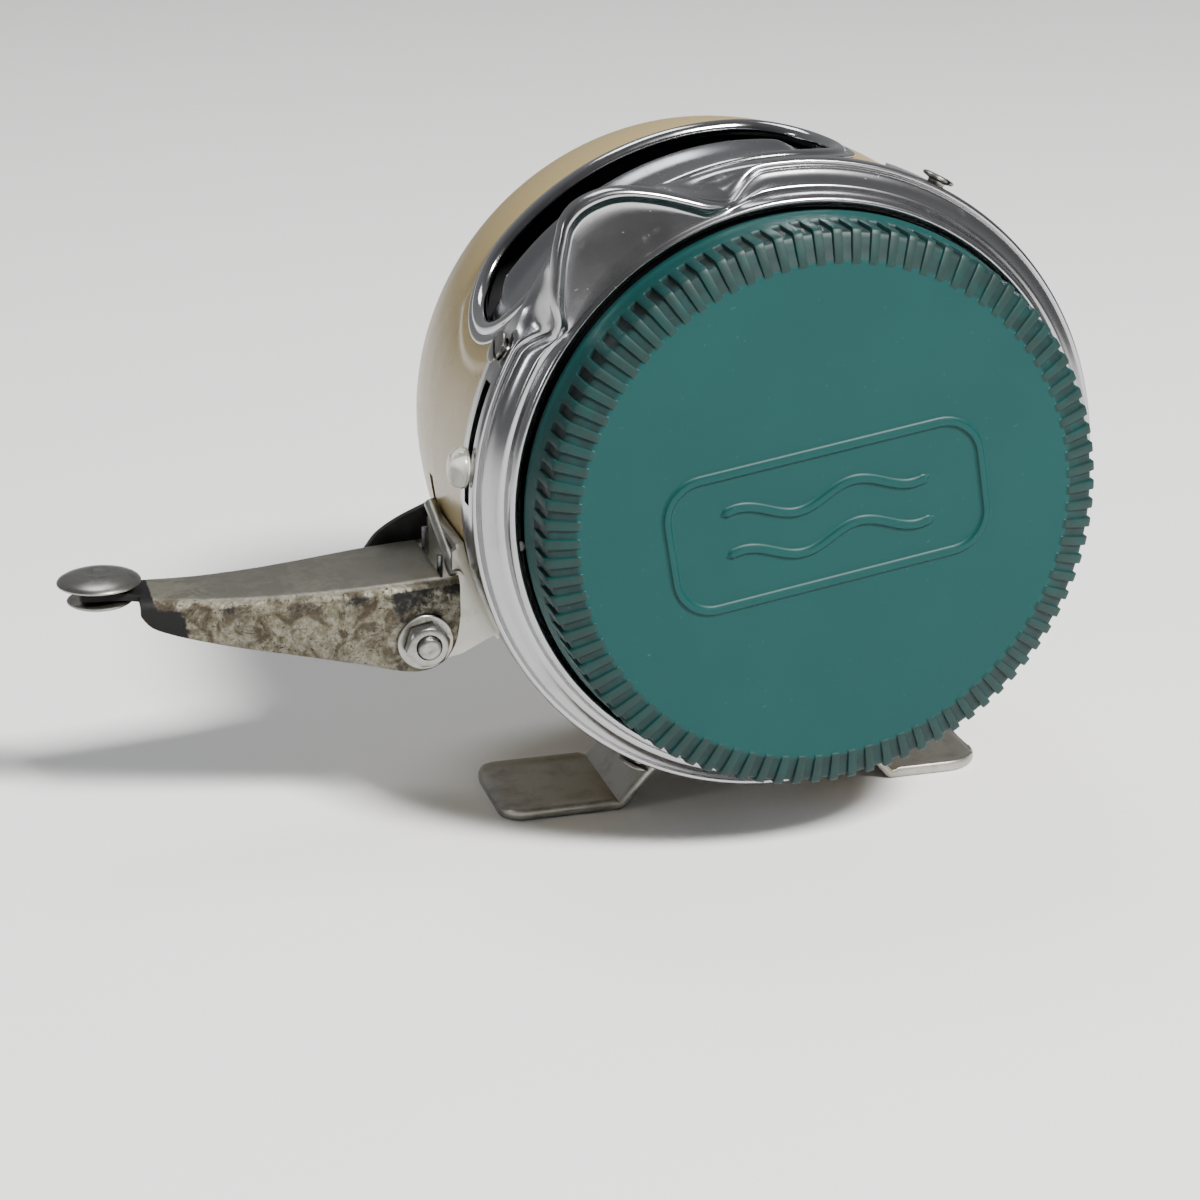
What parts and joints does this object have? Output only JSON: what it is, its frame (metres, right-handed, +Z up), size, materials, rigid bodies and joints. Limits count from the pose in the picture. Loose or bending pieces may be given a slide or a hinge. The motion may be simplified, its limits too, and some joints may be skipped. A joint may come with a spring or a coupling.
{
  "type": "fly fishing reel",
  "caption": "Upright spring-wound fly reel with a ribbed winding knob, line window, thumb slide, stamped foot and a long sprung trigger lever.",
  "frame": {"origin": "middle of the reel's footprint at the rod seat, on the underside of the foot's left pad", "axes": "Y along the reel's axis with the winding knob facing -Y, X along the rod with the trigger pointing to -X, +Z up away from the rod seat"},
  "size_m": [0.1268, 0.0604, 0.0852],
  "materials": {
    "teal_plastic": "satin moulded plastic",
    "polished_aluminium": "polished",
    "tan_enamel": "gloss enamel",
    "chrome_plate": "bright plate",
    "satin_aluminium": "satin",
    "aged_nickel": "worn nickel plate with pitting and brown stains",
    "bright_steel": "zinc plated",
    "spring_steel": "blued",
    "brass_bushing": "turned",
    "black_steel": "black oxide",
    "brake_rubber": "matt",
    "clear_plastic": "translucent moulded plastic",
    "red_fibre": "fibre washer"
  },
  "bodies": {
    "body": {"front_housing": "polished_aluminium", "rear_cover": "tan_enamel", "spring_drum": "polished_aluminium", "line_guard": "chrome_plate", "reel_foot": "satin_aluminium", "foot_rivet_1": "satin_aluminium", "foot_rivet_2": "satin_aluminium", "housing_screw_1": "bright_steel", "housing_screw_2": "bright_steel", "housing_screw_3": "bright_steel", "housing_screw_4": "bright_steel", "hinge_bracket": "satin_aluminium", "bracket_rivet_1": "satin_aluminium", "bracket_rivet_2": "satin_aluminium", "pivot_bolt": "bright_steel", "pivot_nut": "bright_steel", "nut_washer": "bright_steel", "return_spring": "spring_steel", "pawl_pin": "bright_steel", "pawl_spring": "spring_steel", "spindle": "bright_steel", "spool_clip": "bright_steel", "spindle_washer": "red_fibre", "spindle_nut": "bright_steel"},
    "winder": {"winding_knob": "teal_plastic", "spring_barrel": "satin_aluminium", "mainspring": "spring_steel"},
    "reel_spool": {"spool": "satin_aluminium", "spool_bushing": "brass_bushing", "spring_arbor": "bright_steel"},
    "trigger": {"trigger_lever": "aged_nickel", "trigger_button_top": "bright_steel", "trigger_button_bottom": "bright_steel"},
    "brake": {"brake_arm": "black_steel", "brake_shoe": "brake_rubber"},
    "release": {"release_slide": "bright_steel", "release_button": "clear_plastic"},
    "pawl": {"ratchet_pawl": "bright_steel"}
  },
  "joints": [
    {"name": "knob_wind", "type": "hinge", "parent": "body", "child": "winder", "pos_m": [0.0237, -0.02888, 0.0455], "axis": [0, -1, 0], "continuous": true},
    {"name": "spool_turn", "type": "hinge", "parent": "body", "child": "reel_spool", "pos_m": [0.0237, 0.01413, 0.0455], "axis": [0, -1, 0], "continuous": true},
    {"name": "trigger_press", "type": "hinge", "parent": "body", "child": "trigger", "pos_m": [-0.0199, 0.00263, 0.0259], "axis": [0, -1, 0], "range_deg": [0, 8], "stiffness_Nm_per_rad": 0.6, "springref_deg": -8.59},
    {"name": "brake_lift", "type": "hinge", "parent": "body", "child": "brake", "pos_m": [-0.0199, 0.01222, 0.0259], "axis": [0, -1, 0], "range_deg": [0, 8]},
    {"name": "release_slide_move", "type": "hinge", "parent": "body", "child": "release", "pos_m": [0.0237, -0.01328, 0.0455], "axis": [0, -1, 0], "range_deg": [-12.5, 4]},
    {"name": "pawl_lift", "type": "hinge", "parent": "body", "child": "pawl", "pos_m": [-0.01111, -0.01617, 0.04184], "axis": [0, -1, 0], "range_deg": [-7.5, 2.4]}
  ],
  "couplings": [
    {"joint": "brake_lift", "follows": "trigger_press", "ratio": 1},
    {"joint": "pawl_lift", "follows": "release_slide_move", "ratio": 0.6}
  ]
}
